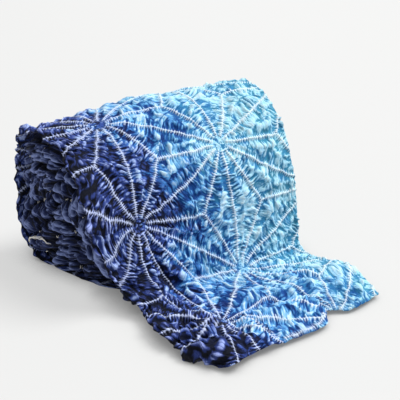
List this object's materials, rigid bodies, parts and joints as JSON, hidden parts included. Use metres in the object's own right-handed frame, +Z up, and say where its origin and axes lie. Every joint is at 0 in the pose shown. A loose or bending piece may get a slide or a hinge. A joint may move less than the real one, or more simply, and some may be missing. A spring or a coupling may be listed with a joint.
{
  "type": "bolt of stitched-shibori yukata cotton",
  "caption": "Crinkled loom-width strip of stitch-dyed cotton, rolled up, with its free end drawn off the top and laid out in front.",
  "frame": {"origin": "middle of the bounding box's base, on the surface the bolt rests on", "axes": "+X along the roll from its dark end to its light end, -Y towards the free end, +Z up"},
  "size_m": [0.3395, 0.3866, 0.2069],
  "materials": {
    "navy_cotton": "crinkled cotton, dyed navy, matte",
    "graded_cotton": "crinkled cotton, dyed from navy to light blue, matte",
    "stitch_thread": "undyed stitched lines and loose thread"
  },
  "bodies": {
    "root": {"bolt_inner_turns": "navy_cotton", "stretch_under": "graded_cotton", "stretch_back": "graded_cotton", "stretch_front": "graded_cotton", "stretch_apron": "graded_cotton"}
  },
  "joints": []
}
